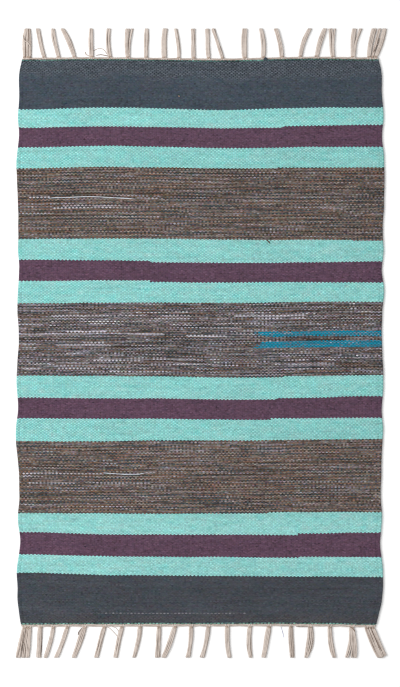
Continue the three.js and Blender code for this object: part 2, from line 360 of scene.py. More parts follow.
def make_mesh(name, points, triangles):
    """A mesh object of the points that its triangles use, and the numbers of those points."""
    used, triangles = np.unique(triangles, return_inverse=True)
    triangles = triangles.reshape(-1, 3)
    mesh = bpy.data.meshes.new(name)
    mesh.vertices.add(len(used))
    mesh.vertices.foreach_set("co", points[used].astype(np.float32).ravel())
    mesh.loops.add(triangles.size)
    mesh.loops.foreach_set("vertex_index", triangles.astype(np.int32).ravel())
    mesh.polygons.add(len(triangles))
    mesh.polygons.foreach_set("loop_start", np.arange(0, triangles.size, 3, dtype=np.int32))
    mesh.update(calc_edges=True)
    mesh.polygons.foreach_set("use_smooth", np.ones(len(triangles), bool))
    return show(name, mesh), used


def set_layer(mesh, name, values):
    """A UV layer of a mesh with a pair of values for each corner."""
    mesh.uv_layers.new(name=name).data.foreach_set("uv", values.astype(np.float32).ravel())


def linear(red, green, blue):
    """Screen colour, 0 to 255, as linear light: the power 2.4 of the value with its toe."""
    value = np.array([red, green, blue], float) / 255
    return np.where(value > 0.04045, ((value + 0.055) / 1.055) ** 2.4, value / 12.92)


# Slow noise needs a few knots more than fit along the rows.
SPARE_KNOTS = 3


def knots_before(place):
    """The knot before each place, and the smooth step 3tt - 2ttt of the way t on to the next one."""
    knot = place.astype(int)
    t = place - knot
    return knot, t * t * (3 - 2 * t)


def drift(rng, rows, columns, reach):
    """Slow noise along each row: random values a reach apart, joined by a smooth step."""
    knots = rng.standard_normal((rows, int(columns / reach) + SPARE_KNOTS))
    knot, t = knots_before(np.arange(columns)[None, :] / reach + rng.random((rows, 1)))
    row = np.arange(rows)[:, None]
    return knots[row, knot] * (1 - t) + knots[row, knot + 1] * t


def patches(rng, rows, columns, reach):
    """Slow noise both ways: random values on a grid of the two reaches, joined by a smooth step."""
    down, across = [int(count / far) + SPARE_KNOTS for count, far in zip((rows, columns), reach)]
    knots = rng.standard_normal((down, across))
    for axis, count in ((0, rows), (1, columns)):
        knot, t = knots_before(np.arange(count) / reach[axis] + rng.random())
        t = t[:, None] if axis == 0 else t[None, :]
        knots = knots.take(knot, axis=axis) * (1 - t) + knots.take(knot + 1, axis=axis) * t
    return knots


# How far shades reach along a pick, in warps, and patches of shade and of red, in picks and warps.
SHADE_REACH = 14
PATCH_REACH = (14, 20)
RED_REACH = (4, 3)
SHADE_LIMITS = (0.3, 2.5)


def dyed(rng, picks, colour, spread):
    """One dyed yarn over the floats of a stripe: its colour times one plus shares of noise, by the
    pick, along the pick, in patches and by the float, each channel moving a little on its own."""
    shade = spread["pick"] * rng.standard_normal((picks, 1))
    shade = shade + spread["along"] * drift(rng, picks, WARPS, SHADE_REACH)
    shade = shade + spread["patch"] * patches(rng, picks, WARPS, PATCH_REACH)
    shade = shade + spread["float"] * rng.standard_normal((picks, WARPS))
    tint = spread["tint"] * rng.standard_normal((picks, WARPS, 3))
    tint[..., 0] += spread["red"] * patches(rng, picks, WARPS, RED_REACH)
    return linear(*colour) * (1 + shade[..., None] + tint).clip(*SHADE_LIMITS)


def matt_material(name, roughness, sheen):
    """A matt fibre without a colour yet. Returns the material and its shader."""
    material = bpy.data.materials.new(name)
    material.use_nodes = True
    shader = material.node_tree.nodes["Principled BSDF"]
    looks = {
        "Roughness": roughness, "Sheen Weight": sheen, "Sheen Roughness": 0.5, "Specular IOR Level": 0.15,
    }
    for socket, value in looks.items():
        shader.inputs[socket].default_value = value
    return material, shader


def add_node(material, kind, sockets=None, **settings):
    """A node of a kind in a material, with its own settings, and values on its sockets."""
    node = material.node_tree.nodes.new("ShaderNode" + kind)
    for setting, value in settings.items():
        setattr(node, setting, value)
    for socket, value in (sockets or {}).items():
        node.inputs[socket].default_value = value
    return node


def join_nodes(material, *links):
    """Joins sockets of a material. A link is a node, its output, the next node and its input."""
    for source, output, target, socket in links:
        material.node_tree.links.new(source.outputs[output], target.inputs[socket])


# The depth of the grooves between plies, and where the painted shade of the pits starts and is full,
# from the float's ridge at 0 to its long edge at 1.
PLY_DEPTH = 0.25
PIT_FALL = (0.0, 0.8)


def cotton_material(name, roughness, sheen, pit_shade):
    """Matt cotton weft. Its colour is the float's own, times the painted shade of the pits towards the
    float's two long edges, and darker in the slanting grooves between the plies and lighter on the plies,
    as painted shade and light; fine noise makes the fibres. The attribute's alpha says how far the
    painted shade of the pits goes."""
    material, shader = matt_material(name, roughness, sheen)
    yarn = add_node(material, "Attribute", attribute_name="yarn_colour")
    lay = add_node(material, "UVMap", uv_map="lay")
    place = add_node(material, "TexCoord")
    parts = add_node(material, "SeparateXYZ")
    off_ridge = add_node(material, "Math", operation="ABSOLUTE")
    fall = add_node(
        material, "MapRange", {"From Min": PIT_FALL[0], "From Max": PIT_FALL[1]},
        interpolation_type="SMOOTHSTEP",
    )
    amount = add_node(material, "Math", operation="MULTIPLY")
    # Painted shade in the pits: the float's colour darkens towards its two long edges.
    shade = add_node(material, "Mix", {"A": (1, 1, 1, 1), "B": (*pit_shade, 1)}, data_type="RGBA")
    sunk = add_node(material, "Mix", {"Factor": 1.0}, data_type="RGBA", blend_type="MULTIPLY")
    twist = add_node(
        material, "TexWave", {"Scale": 0.55, "Distortion": 1.2, "Detail": 1.0},
        wave_type="BANDS", bands_direction="DIAGONAL",
    )
    fibre = add_node(material, "TexNoise", {"Scale": 2600.0, "Detail": 3.0})
    both = add_node(material, "Math", {1: 0.55}, operation="MULTIPLY_ADD")
    # Painted shade in the grooves between plies and painted light on the plies, from the noise that also
    # drives the bump.
    depth = add_node(material, "MapRange", {"To Min": 0.72, "To Max": 1.18})
    tone = add_node(material, "Mix", {"Factor": 1.0}, data_type="RGBA", blend_type="MULTIPLY")
    bump = add_node(material, "Bump", {"Strength": 0.6, "Distance": PLY_DEPTH * MM})
    join_nodes(
        material,
        (lay, "UV", parts, "Vector"), (parts, "Y", off_ridge, 0), (off_ridge, "Value", fall, "Value"),
        (fall, "Result", amount, 0), (yarn, "Alpha", amount, 1), (amount, "Value", shade, "Factor"),
        (yarn, "Color", sunk, "A"), (shade, "Result", sunk, "B"),
        (lay, "UV", twist, "Vector"), (place, "Object", fibre, "Vector"),
        (fibre, "Fac", both, 0), (twist, "Fac", both, 2), (both, "Value", depth, "Value"),
        (sunk, "Result", tone, "A"), (depth, "Result", tone, "B"), (tone, "Result", shader, "Base Color"),
        (both, "Value", bump, "Height"), (bump, "Normal", shader, "Normal"),
    )
    return material


# The bake layout: the margins of each length across and along, in millimetres, and the height of the
# strip for the underside and the walls, with the gap above it, as shares of the square.
BAKE_MARGIN = {"across": 3.5, "along": 1.0}
BAKE_UNDERSIDE = 0.22
BAKE_GAP = 0.01


def bake_layout(points, triangles, upper_triangles):
    """A flat layout of a stripe for baking. The upper face is cut across into as many lengths as
    stack up to a square, side by side above a low strip that takes the underside and the walls."""
    corner = points[triangles.ravel(), :2] / MM
    low, high = corner.min(axis=0), corner.max(axis=0)
    width, length = high - low
    count = max(1, int(round(np.sqrt((1 - BAKE_UNDERSIDE) * width / length))))
    share = (corner - low) / (high - low)
    layout = np.stack([share[:, 0], share[:, 1] * (BAKE_UNDERSIDE - BAKE_GAP)], axis=1)
    upper = slice(0, 3 * upper_triangles)
    middle = np.repeat(corner[upper].reshape(-1, 3, 2).mean(axis=1), 3, axis=0)
    cut = ((middle[:, 0] - low[0]) / width * count).astype(int).clip(0, count - 1)
    across, along = BAKE_MARGIN["across"], BAKE_MARGIN["along"]
    u = (corner[upper, 0] - low[0] - cut * width / count + across) / (width / count + 2 * across)
    v = (cut + (corner[upper, 1] - low[1] + along) / (length + 2 * along)) / count
    layout[upper] = np.stack([u, BAKE_UNDERSIDE + v * (1 - BAKE_UNDERSIDE)], axis=1)
    return layout.clip(0, 1)


# However deep the painted shade at a float's tips, they keep this share of their light.
DARKEST_TIP = 0.1


def weave(name, seed, colours, material, depth, tip_shade):
    """Makes a stripe. A corner has its float's colour, darker by the tip shade at the tips, a painted shade
    where the yarn dives. Its alpha is the depth of the pits' painted shade. Both can be one number or one
    for each float."""
    cloth = woven_stripe(name, seed)
    piece, used = make_mesh(name, cloth["points"], cloth["triangles"])
    mesh = piece.data
    corner = cloth["triangles"].ravel()
    at_tip = (cloth["kinds"][corner] != CREST_POINT) & (cloth["lay"].ravel() == 0)
    depths = np.broadcast_to(depth, colours.shape[:2])
    shades = np.broadcast_to(tip_shade, colours.shape[:2])
    shade = np.repeat(shades[cloth["pick"], cloth["warp"]], 3)[:, None]
    colour = np.empty((len(corner), 4), np.float32)
    colour[:, :3] = np.repeat(colours[cloth["pick"], cloth["warp"]], 3, axis=0)
    colour[:, 3] = np.repeat(depths[cloth["pick"], cloth["warp"]], 3)
    # Painted shade at the tips, where the yarn dives between warps.
    colour[at_tip, :3] *= (1 - shade[at_tip] * colour[at_tip, 3:]).clip(DARKEST_TIP, 1)
    mesh.attributes.new("yarn_colour", "FLOAT_COLOR", "CORNER").data.foreach_set("color", colour.ravel())
    kinds = cloth["kinds"][used]
    ends = np.empty(2 * len(mesh.edges), np.int32)
    mesh.edges.foreach_get("vertices", ends)
    pair = kinds[ends.reshape(-1, 2)]
    lowest, highest = pair.min(axis=1), pair.max(axis=1)
    creased = (lowest == LOW_POINT) & (highest != CREST_POINT)
    mesh.attributes.new("sharp_edge", "BOOLEAN", "EDGE").data.foreach_set("value", creased)
    lay = np.stack([cloth["points"][corner, 0] / MM, cloth["lay"].ravel()], axis=1)
    set_layer(mesh, "lay", lay)
    set_layer(mesh, "OFBake", bake_layout(cloth["points"], cloth["triangles"], cloth["upper_triangles"]))
    mesh.materials.append(material)
    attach(piece, "root")
    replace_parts(piece, "rug_body")


# The slate weft and its browner dye lot at the bottom end, and the two tones of the painted highlights
# that speck its open ends. A spread holds the strengths of a yarn's shades, the depth says how far the
# pits between floats take their painted shade, and the tip shade how much darker a float is at its
# tips, as painted shade. The seeds are where the random numbers start.
SLATE = (66, 75, 85)
SLATE_BROWNED = (66, 70, 77)
SLATE_SPECK = (122, 127, 134)
TAN_SPECK = (150, 128, 116)
SLATE_SPREAD = {"pick": 0.05, "along": 0.05, "patch": 0.06, "float": 0.12, "tint": 0.05, "red": 0.07}
SLATE_DEPTH = 0.2
SLATE_TIP_SHADE = 0.3
SLATE_PIT_SHADE = (0.06, 0.08, 0.1)
SLATE_SEEDS = {"colours": 20, "weave": 10}

slate_cotton = cotton_material("slate_cotton", roughness=0.9, sheen=0.15, pit_shade=SLATE_PIT_SHADE)

# The first picks at the top end are beaten less hard, so that each float stands clear of the next and
# catches the light, painted as a highlight on its crest, with deeper painted shade in the pits beside it;
# the last ones at the bottom end are a little like them. For each stripe: the pick at the rug's end, the
# last open one, how deep the painted shade of the pits gets, how strong the painted highlights are, and
# their colour.
OPEN_PICKS = {
    "slate_top": {"end": 0, "last": 26, "pits": 2.1, "light": 0.82, "speck": SLATE_SPECK},
    "slate_bottom": {"end": 67, "last": 50, "pits": 0.6, "light": 0.1, "speck": TAN_SPECK},
}
OPEN_BORDER = {"wander": 2.0, "reach": 9, "rough": 1.5, "fade": 2}
OPEN_ACROSS = {"sides": 0.55, "middle": 0.45}
OPEN_PATCHES = {"mean": 0.8, "spread": 0.3, "reach": (5, 9)}
# How bright the painted highlight on each open float is, at random between these.
SPECK_LIGHT = (0.5, 1.5)


def open_weave(rng, name, picks):
    """How open the weave is over a stripe's floats, from 0 to 1: full at the rug's end, gone past
    the last open pick, fuller in the middle of the width and in patches."""
    end, last = OPEN_PICKS[name]["end"], OPEN_PICKS[name]["last"]
    pick = np.arange(picks)[:, None] + OPEN_BORDER["wander"] * drift(rng, 1, WARPS, OPEN_BORDER["reach"])
    pick = pick + OPEN_BORDER["rough"] * rng.standard_normal((picks, WARPS))
    share = np.clip((last - pick) / (last - end) * OPEN_BORDER["fade"], 0, 1)
    bow = np.sin((np.arange(WARPS)[None, :] + 0.5) / WARPS * np.pi)
    across = OPEN_ACROSS["sides"] + OPEN_ACROSS["middle"] * bow
    uneven = OPEN_PATCHES["mean"] + OPEN_PATCHES["spread"] * patches(rng, picks, WARPS, OPEN_PATCHES["reach"])
    return (share * across * uneven).clip(0, 1)


# The sea-green picks at each end of the rug, outermost first.
EDGE_PICKS = {
    "slate_top": ((108, 160, 148), (92, 116, 118)),
    "slate_bottom": ((118, 166, 152), (66, 80, 86)),
}
EDGE_PICK_SPREAD = {"pick": 0, "along": 0.12, "patch": 0, "float": 0.25, "tint": 0.05, "red": 0}

# One pick near the bottom end has a paler yarn from one warp to another, which shows as dots. Over
# its first warps it is faint.
DOTTED_PICK = {"pick": 52, "from_warp": 16, "to_warp": 124}
DOTTED_FAINT = {"warps": 20, "share": 0.25, "fade": 10}
DOTTED_SPECK = (110, 108, 113)
DOTTED_LIGHT = (0.3, 1.2)
DOTTED_COVER = 0.6


def lay_dots(rng, floats):
    """A paler yarn over the floats of a stretch of a pick: each keeps what the cover leaves of its own
    colour and takes on an uneven share of the speck's. Over the first warps that share is less."""
    warp = np.arange(len(floats))[:, None]
    share = np.clip((warp - DOTTED_FAINT["warps"]) / DOTTED_FAINT["fade"], DOTTED_FAINT["share"], 1)
    speck = linear(*DOTTED_SPECK) * rng.uniform(*DOTTED_LIGHT, (len(floats), 1))
    return floats * (1 - DOTTED_COVER * share) + speck * share


for number, name in enumerate(("slate_top", "slate_bottom"), start=1):
    rng = np.random.default_rng(SLATE_SEEDS["colours"] + number)
    picks = dict(STRIPES)[name]
    slate = dyed(rng, picks, SLATE if name == "slate_top" else SLATE_BROWNED, SLATE_SPREAD)
    if name == "slate_bottom":
        stretch = slice(DOTTED_PICK["from_warp"], DOTTED_PICK["to_warp"])
        slate[DOTTED_PICK["pick"], stretch] = lay_dots(rng, slate[DOTTED_PICK["pick"], stretch])
    openness = open_weave(rng, name, picks)
    # Painted highlights on the crests of the open floats, in the colour of the specks.
    specks = openness * rng.uniform(*SPECK_LIGHT, openness.shape)
    ends = OPEN_PICKS[name]
    slate = slate + ends["light"] * specks[..., None] * linear(*ends["speck"])
    for step, colour in enumerate(EDGE_PICKS[name]):
        pick = step if name == "slate_top" else picks - 1 - step
        slate[pick] = dyed(rng, 1, colour, EDGE_PICK_SPREAD)[0]
    # Deeper painted shade in the pits where the weave is open.
    depth = SLATE_DEPTH + (ends["pits"] - SLATE_DEPTH) * openness
    seed = SLATE_SEEDS["weave"] + number
    weave(name, seed, slate, slate_cotton, depth, SLATE_TIP_SHADE)


# Mint stripes
# Eight runs of pale blue-green cotton weft. Each is woven in with the cloth, and it is a little
# fuller than the darker stripes beside it, so the long edges stand out where it turns.

MINT = (171, 233, 228)
MINT_SPREAD = {"pick": 0.025, "along": 0.045, "patch": 0.02, "float": 0.08, "tint": 0.018, "red": 0.085}
# The painted shade at the floats' tips, and the colour of the painted shade in the pits.
MINT_TIP_SHADE = 0.62
MINT_PIT_SHADE = (0.0, 0.3, 0.3)
MINT_SEEDS = {"colours": 40, "weave": 50}

# For each stripe from the top: how deep the painted shade of its pits is, and how light it is.
MINT_STRIPES = (
    (0.7, 1.02), (0.72, 0.98), (0.66, 0.95), (0.7, 0.98),
    (0.7, 0.98), (0.72, 0.98), (0.52, 0.9), (0.52, 0.88),
)

mint_cotton = cotton_material("mint_cotton", roughness=0.85, sheen=0.2, pit_shade=MINT_PIT_SHADE)
for number, (depth, shade) in enumerate(MINT_STRIPES, start=1):
    name = f"mint_{number}"
    rng = np.random.default_rng(MINT_SEEDS["colours"] + number)
    mint = shade * dyed(rng, dict(STRIPES)[name], MINT, MINT_SPREAD)
    weave(name, MINT_SEEDS["weave"] + number, mint, mint_cotton, depth, MINT_TIP_SHADE)


# Plum stripes
# Four runs of dark purple cotton weft between the mint ones, beaten harder, so that the long edges
# draw in. Where a pick ends partway across, mint weft takes its place to the edge.

PLUM = (91, 66, 84)
PLUM_SPREAD = {"pick": 0.04, "along": 0.05, "patch": 0.03, "float": 0.16, "tint": 0.03, "red": 0.02}
# The depth of the painted shade in the pits and its colour there, and the painted shade at the tips.
PLUM_DEPTH = 0.3
PLUM_TIP_SHADE = 0.0
PLUM_PIT_SHADE = (0.2, 0.2, 0.22)
PLUM_SEEDS = {"colours": 60, "weave": 70}

# Where a weft was turned partway across: for each stripe, whether it is at the first or last line,
# the number of picks that are mint, and the stretch, as places across the rug.
PLUM_SHARED = {
    "plum_1": (("first", 2, -280, 127),),
    "plum_2": (("first", 2, -76, 280), ("last", 2, -280, -76)),
    "plum_3": (("first", 2, -280, 118), ("last", 2, 109, 280)),
    "plum_4": (("first", 2, -280, 151), ("last", 1, 151, 280)),
}


def warp_at(x):
    """The number of the warp at a place across the rug."""
    return int(np.clip((x / (2 * CLOTH_HALF_WIDTH) + 0.5) * WARPS, 0, WARPS))


def share_picks(values, shared, guest):
    """Gives some of a stripe's outer picks the values of the next stripe's weft over a stretch."""
    guest = np.broadcast_to(guest, values.shape)
    for end, count, start, stop in shared:
        rows = slice(0, count) if end == "first" else slice(len(values) - count, None)
        stretch = slice(warp_at(start), warp_at(stop))
        values[rows, stretch] = guest[rows, stretch]
    return values


plum_cotton = cotton_material("plum_cotton", roughness=0.9, sheen=0.2, pit_shade=PLUM_PIT_SHADE)
for number, (name, shared) in enumerate(PLUM_SHARED.items()):
    rng = np.random.default_rng(PLUM_SEEDS["colours"] + number)
    picks = dict(STRIPES)[name]
    plum = dyed(rng, picks, PLUM, PLUM_SPREAD)
    plum = share_picks(plum, shared, dyed(rng, picks, MINT, MINT_SPREAD))
    depths = share_picks(np.full((picks, WARPS), PLUM_DEPTH), shared, MINT_STRIPES[0][0])
    tips = share_picks(np.full((picks, WARPS), PLUM_TIP_SHADE), shared, MINT_TIP_SHADE)
    weave(name, PLUM_SEEDS["weave"] + number, plum, plum_cotton, depths, tips)


# Marl bands
# Three broad bands woven with a loose bundle of rust, slate and grey yarns, so that now one and now
# another comes to the face. The middle band has more pale yarn, and two inlaid bars of teal.

RUST = (128, 99, 81)
BARK = (74, 60, 50)
COAL = (57, 72, 79)
GREY = (144, 133, 127)
MAUVE = (162, 158, 168)
PALE = (233, 229, 240)
TEAL = (0, 172, 206)
WHITE = (255, 255, 255)
MARL_SPREAD = {"pick": 0.0, "along": 0.0, "patch": 0.04, "float": 0.2, "tint": 0.06, "red": 0.03}
# The painted shade at the floats' tips, and the colour of the painted shade in the pits.
MARL_TIP_SHADE = 0.6
MARL_PIT_SHADE = (0.12, 0.12, 0.14)
MARL_SEEDS = {"colours": 80, "weave": 90}

# How a yarn of the bundle comes and goes: the part of its own for the pick, the slow and the quick
# drift with their reaches in warps, and the part for the float. The power says how surely one wins.
YARN_RUN = {"pick": 0.5, "slow": 0.85, "slow_reach": 22, "quick": 0.5, "quick_reach": 7, "float": 0.38}
YARN_POWER = 1.85
PICK_LIGHT = {"pick": 0.6, "drift": 0.8, "reach": 16, "contrast": 0.05}
# The shares of the picks one and two away that are taken off, so that neighbours differ.
NEIGHBOURS = (0.15, 0.45)


# For each band: the lead of each yarn in the bundle, from rust to pale, the depth of the painted shade in
# its pits, how light it is, how strong its palest threads are, and the mint picks at its lines.
MARL_BANDS = {
    "marl_1": {
        "mix": (0.6, 0.3, 0.45, 0.6, -0.7, -6.0), "depth": 0.56, "shade": 0.98, "threads": 1.0,
        "shared": (("first", 1, -280, 117), ("last", 1, -280, 233)),
    },
    "marl_2": {
        "mix": (0.35, 0.3, 0.5, 0.3, 0.45, -0.9), "depth": 0.95, "shade": 1.15, "threads": 0.85,
        "shared": (("last", 1, 130, 280),),
    },
    "marl_3": {
        "mix": (0.6, 0.3, 0.45, 0.6, -0.6, -6.0), "depth": 0.7, "shade": 1.14, "threads": 1.0,
        "shared": (("last", 1, 106, 280),),
    },
}


# The palest threads: place along the rug, from, to, how pale, and "solid" for a full thread that
# hides the floats beside it or "dots" for a thin one.
PALE_THREADS = {
    "marl_1": (
        (220.7, -262, -229, 0.6, "dots"), (218.4, -97, -64, 0.6, "dots"), (207.0, -212, -118, 0.45, "dots"),
        (203.3, -226, -133, 0.6, "dots"), (203.3, -133, -80, 0.3, "dots"), (231.0, -60, 20, 0.3, "dots"),
        (190.5, -150, -60, 0.3, "dots"),
    ),
    "marl_2": (
        (50.7, 227, 242, 0.8, "dots"), (46.3, -53, -45, 0.9, "dots"), (41.9, -224, -136, 0.8, "solid"),
        (41.9, -136, -82, 0.7, "dots"), (41.9, -60, -15, 0.7, "dots"), (41.9, 53, 163, 0.9, "solid"),
        (36.9, -68, -15, 0.6, "solid"), (36.9, 24, 42, 0.7, "dots"), (36.9, 85, 129, 0.7, "dots"),
        (36.9, 141, 159, 1.0, "dots"), (30.6, 23, 115, 0.7, "dots"), (28.6, -275, -235, 0.7, "dots"),
        (28.0, 147, 182, 0.7, "dots"), (28.0, 251, 269, 0.7, "solid"), (23.6, -20, 68, 0.7, "dots"),
        (17.6, -206, -144, 1.0, "dots"), (13.5, -275, -166, 0.6, "solid"), (13.5, -109, -53, 1.0, "solid"),
        (11.7, -20, 42, 1.0, "solid"), (0.9, -179, -144, 0.7, "dots"), (-2.9, -219, -136, 0.9, "solid"),
        (-7.9, -274, -250, 0.7, "dots"), (-14.8, -203, -166, 0.5, "solid"), (-14.8, 123, 200, 0.5, "solid"),
        (-18.6, -151, -113, 0.7, "dots"), (-24.4, -73, -48, 0.9, "dots"), (-24.4, -42, 6, 0.7, "solid"),
        (-25.0, 129, 163, 0.9, "dots"), (-26.8, -159, -91, 0.9, "dots"), (-30.9, -200, -166, 0.7, "dots"),
        (-32.2, -76, 0, 0.7, "dots"), (-32.2, 136, 204, 0.6, "solid"), (-34.9, -219, -106, 0.7, "dots"),
        (-38.4, -215, -157, 0.7, "dots"), (-39.9, -266, -242, 0.8, "solid"), (-45.7, -180, 60, 0.4, "dots"),
    ),
    "marl_3": (
        (-196.5, -272, -195, 0.6, "dots"), (-197.0, -190, -150, 0.4, "dots"),
        (-201.5, -272, -240, 0.5, "dots"), (-210.9, -262, -188, 0.65, "dots"),
        (-212.0, -158, -76, 0.35, "dots"), (-196.0, -81, -66, 0.5, "dots"),
        (-170.5, -60, 30, 0.2, "dots"),
    ),
}

# The share of a thread's colour on its own pick and on the picks above and below it, how much of the
# pits' painted shade it takes away, and how even it is along the pick.
THREAD_WIDTHS = {"dots": ((0, 1.0),), "solid": ((-1, 0.1), (0, 1.0), (1, 0.4))}
THREAD_FULLNESS = 0.5
THREAD_EVENNESS = {"mean": 0.85, "spread": 0.25, "reach": 5}

# The teal bars reach from the right edge to a slanting, ragged start. The shares are those of one
# pick after another, and here and there a float is worn.
TEAL_BARS = (
    {"top": 16.9, "bottom": 11.0, "from": (88, 97)}, {"top": 2.9, "bottom": -5.8, "from": (97, 86)},
)
TEAL_PICKS = (0.97, 1.0, 0.75)
TEAL_RAGGED = 6
TEAL_WORN = {"chance": 0.14, "share": 0.45}


def sharpened(run, near, far):
    """Rows of noise less shares of the rows one and two away, so that neighbours differ."""
    padded = np.concatenate([run[:2], run, run[-2:]])
    return run - near * (padded[1:-3] + padded[3:-1]) - far * (padded[:-4] + padded[4:])


def bundle(rng, picks, mix):
    """A bundle of yarns over the floats. Each yarn has a strength made of a lead, a part of its own
    for the pick and parts that drift along it; the colour is the mean of the yarns weighted by a
    power of e of the strengths, so one mostly wins. Each pick is lighter or darker besides."""
    yarns = [linear(*shade) for shade in (RUST, BARK, COAL, GREY, MAUVE, PALE)]
    strengths = []
    for lead in mix:
        run = YARN_RUN["pick"] * rng.standard_normal((picks, 1))
        run = run + YARN_RUN["slow"] * drift(rng, picks, WARPS, YARN_RUN["slow_reach"])
        run = run + YARN_RUN["quick"] * drift(rng, picks, WARPS, YARN_RUN["quick_reach"])
        run = sharpened(run, *NEIGHBOURS)
        strengths.append(lead + run + YARN_RUN["float"] * rng.standard_normal((picks, WARPS)))
    weight = np.exp(YARN_POWER * np.stack(strengths, axis=-1))
    weight = weight / weight.sum(axis=-1, keepdims=True)
    light = PICK_LIGHT["pick"] * rng.standard_normal((picks, 1))
    light = light + PICK_LIGHT["drift"] * drift(rng, picks, WARPS, PICK_LIGHT["reach"])
    light = np.exp(PICK_LIGHT["contrast"] * sharpened(light, *NEIGHBOURS))
    return weight @ np.stack(yarns) * light[..., None]


def pick_at(name, y):
    """The number of the pick in a stripe at a place along the rug."""
    stripe = STRIPE_NAMES.index(name)
    top, bottom = np.mean(STRIPE_LINES[stripe]), np.mean(STRIPE_LINES[stripe + 1])
    return int(round((top - y) / (top - bottom) * STRIPES[stripe][1] - 0.5))


def lay_thread(rng, colours, depths, stretch, colour, share, fullness):
    """Gives a stretch of a pick the colour of another thread, more or less along it. The fuller its
    floats are, the less painted shade their pits get."""
    pick, start, stop = stretch
    waver = drift(rng, 1, stop - start, THREAD_EVENNESS["reach"])[0].clip(-1, 1)
    share = share * (THREAD_EVENNESS["mean"] + THREAD_EVENNESS["spread"] * waver)[:, None]
    colours[pick, start:stop] = colours[pick, start:stop] * (1 - share) + linear(*colour) * share
    depths[pick, start:stop] *= 1 - fullness * share[:, 0]


def lay_teal_bar(rng, colours, depths, bar):
    """Inlays a bar of teal picks in the middle band."""
    first, last = pick_at("marl_2", bar["top"]), pick_at("marl_2", bar["bottom"])
    for pick in range(first, last + 1):
        start = warp_at(np.interp(pick, (first, last), bar["from"]) + rng.uniform(-TEAL_RAGGED, TEAL_RAGGED))
        worn = rng.random((WARPS - start, 1)) < TEAL_WORN["chance"]
        share = TEAL_PICKS[(pick - first) % len(TEAL_PICKS)] * np.where(worn, TEAL_WORN["share"], 1.0)
        lay_thread(rng, colours, depths, (pick, start, WARPS), TEAL, share, 0.0)


marl_cotton = cotton_material("marl_cotton", roughness=0.9, sheen=0.05, pit_shade=MARL_PIT_SHADE)
for number, (name, band) in enumerate(MARL_BANDS.items()):
    rng = np.random.default_rng(MARL_SEEDS["colours"] + number)
    picks = dict(STRIPES)[name]
    marl = band["shade"] * bundle(rng, picks, band["mix"]) * dyed(rng, picks, WHITE, MARL_SPREAD)
    depths = np.full(marl.shape[:2], band["depth"])
    for place, start, stop, strength, width in PALE_THREADS[name]:
        for step, share in THREAD_WIDTHS[width]:
            stretch = (pick_at(name, place) + step, warp_at(start), warp_at(stop))
            lay_thread(rng, marl, depths, stretch, PALE, strength * band["threads"] * share, THREAD_FULLNESS)
    if name == "marl_2":
        for bar in TEAL_BARS:
            lay_teal_bar(rng, marl, depths, bar)
    marl = share_picks(marl, band["shared"], dyed(rng, picks, MINT, MINT_SPREAD))
    depths = share_picks(depths, band["shared"], MINT_STRIPES[0][0])
    seed = MARL_SEEDS["weave"] + number
    weave(name, seed, marl.clip(0, 1), marl_cotton, depths, MARL_TIP_SHADE)


# Fringes
# The cotton warps leave the cloth at each short end. Along its edge they run sideways as a twisted
# cord, and they are gathered and hitched into locks that lie loose on the floor.

# Each lock: where its root, its middle and its tip lie across the rug, and its width at root and tip.
TOP_LOCKS = (
    (-265.5, -266, -263.5, 5.4, 5.2), (-261.5, -262, -261, 3.6, 3.4), (-257.5, -257.5, -258.5, 5.4, 4.4),
    (-236, -242, -245.5, 6.4, 6.8), (-214, -219.5, -223, 6.8, 6.6), (-190.5, -198, -208.5, 6.4, 6.4),
    (-164, -165, -164.5, 7.6, 5.6), (-136.5, -139, -138, 7, 6.4), (-109, -109.5, -107.5, 7.4, 11.2),
    (-81.5, -81.5, -80.5, 6.8, 6.8), (-54, -54.5, -53, 8.2, 8.2), (-32, -33, -37, 5.4, 4.6),
    (-10, -10.5, -10.5, 7.3, 7.3), (13, 11.5, 11.5, 6.4, 5.8), (34, 27.5, 20, 6.4, 5.4),
    (67.5, 66.5, 67.5, 8.2, 7.4), (95.5, 96, 92, 7.3, 5.4), (123.5, 121, 114.5, 6.8, 6.2),
    (152, 157, 166.5, 6.4, 6.8), (177, 182, 189.5, 6.8, 6.4), (201, 199.5, 199.5, 6.4, 10),
    (232, 233, 236, 6.8, 12.4), (256, 258.5, 264, 6.4, 8.2), (261, 267, 272.5, 4.4, 3.6),
    (266, 274, 279.5, 6.8, 6.8),
)
BOTTOM_LOCKS = (
    (-266, -271, -275.5, 7.3, 8.6), (-261.5, -264.5, -268, 4.6, 6.4), (-257.5, -259.5, -261.5, 5.4, 6.6),
    (-242, -243.5, -244.5, 7.3, 6.8), (-222.5, -227, -234.5, 6.1, 6.4), (-201, -208.5, -217.5, 6.8, 6.4),
    (-175, -182.5, -191, 8.2, 6.4), (-145, -151.5, -157, 7.3, 7.3), (-118, -123.5, -127.5, 7, 6.6),
    (-91, -94, -100.5, 7.6, 5.2), (-62, -63, -64.5, 7, 7.3), (-38.5, -45.5, -55, 7.3, 7.3),
    (-13.5, -14.5, -18.5, 7.3, 7.3), (12.5, 9, 3, 7.2, 7.4), (41.5, 41.5, 44.5, 7.4, 6),
    (75.5, 74, 76.5, 7.3, 5.4), (104.5, 100.5, 96.5, 8.2, 6.4), (137.5, 138, 140, 7.2, 6.8),
    (167, 166.5, 160.5, 8.2, 6), (196.5, 198.5, 203.5, 6.8, 6.4), (229.5, 231.5, 230.5, 8.2, 15.8),
    (252, 261, 271.5, 6.6, 7.3), (257, 266, 275, 4.6, 5.6), (262, 270.5, 279.5, 6.4, 6.4),
)
LOCKS = {"fringe_top": TOP_LOCKS, "fringe_bottom": BOTTOM_LOCKS}
LOCK_REACH = 476.4
OUTWARD = {"fringe_top": 1, "fringe_bottom": -1}

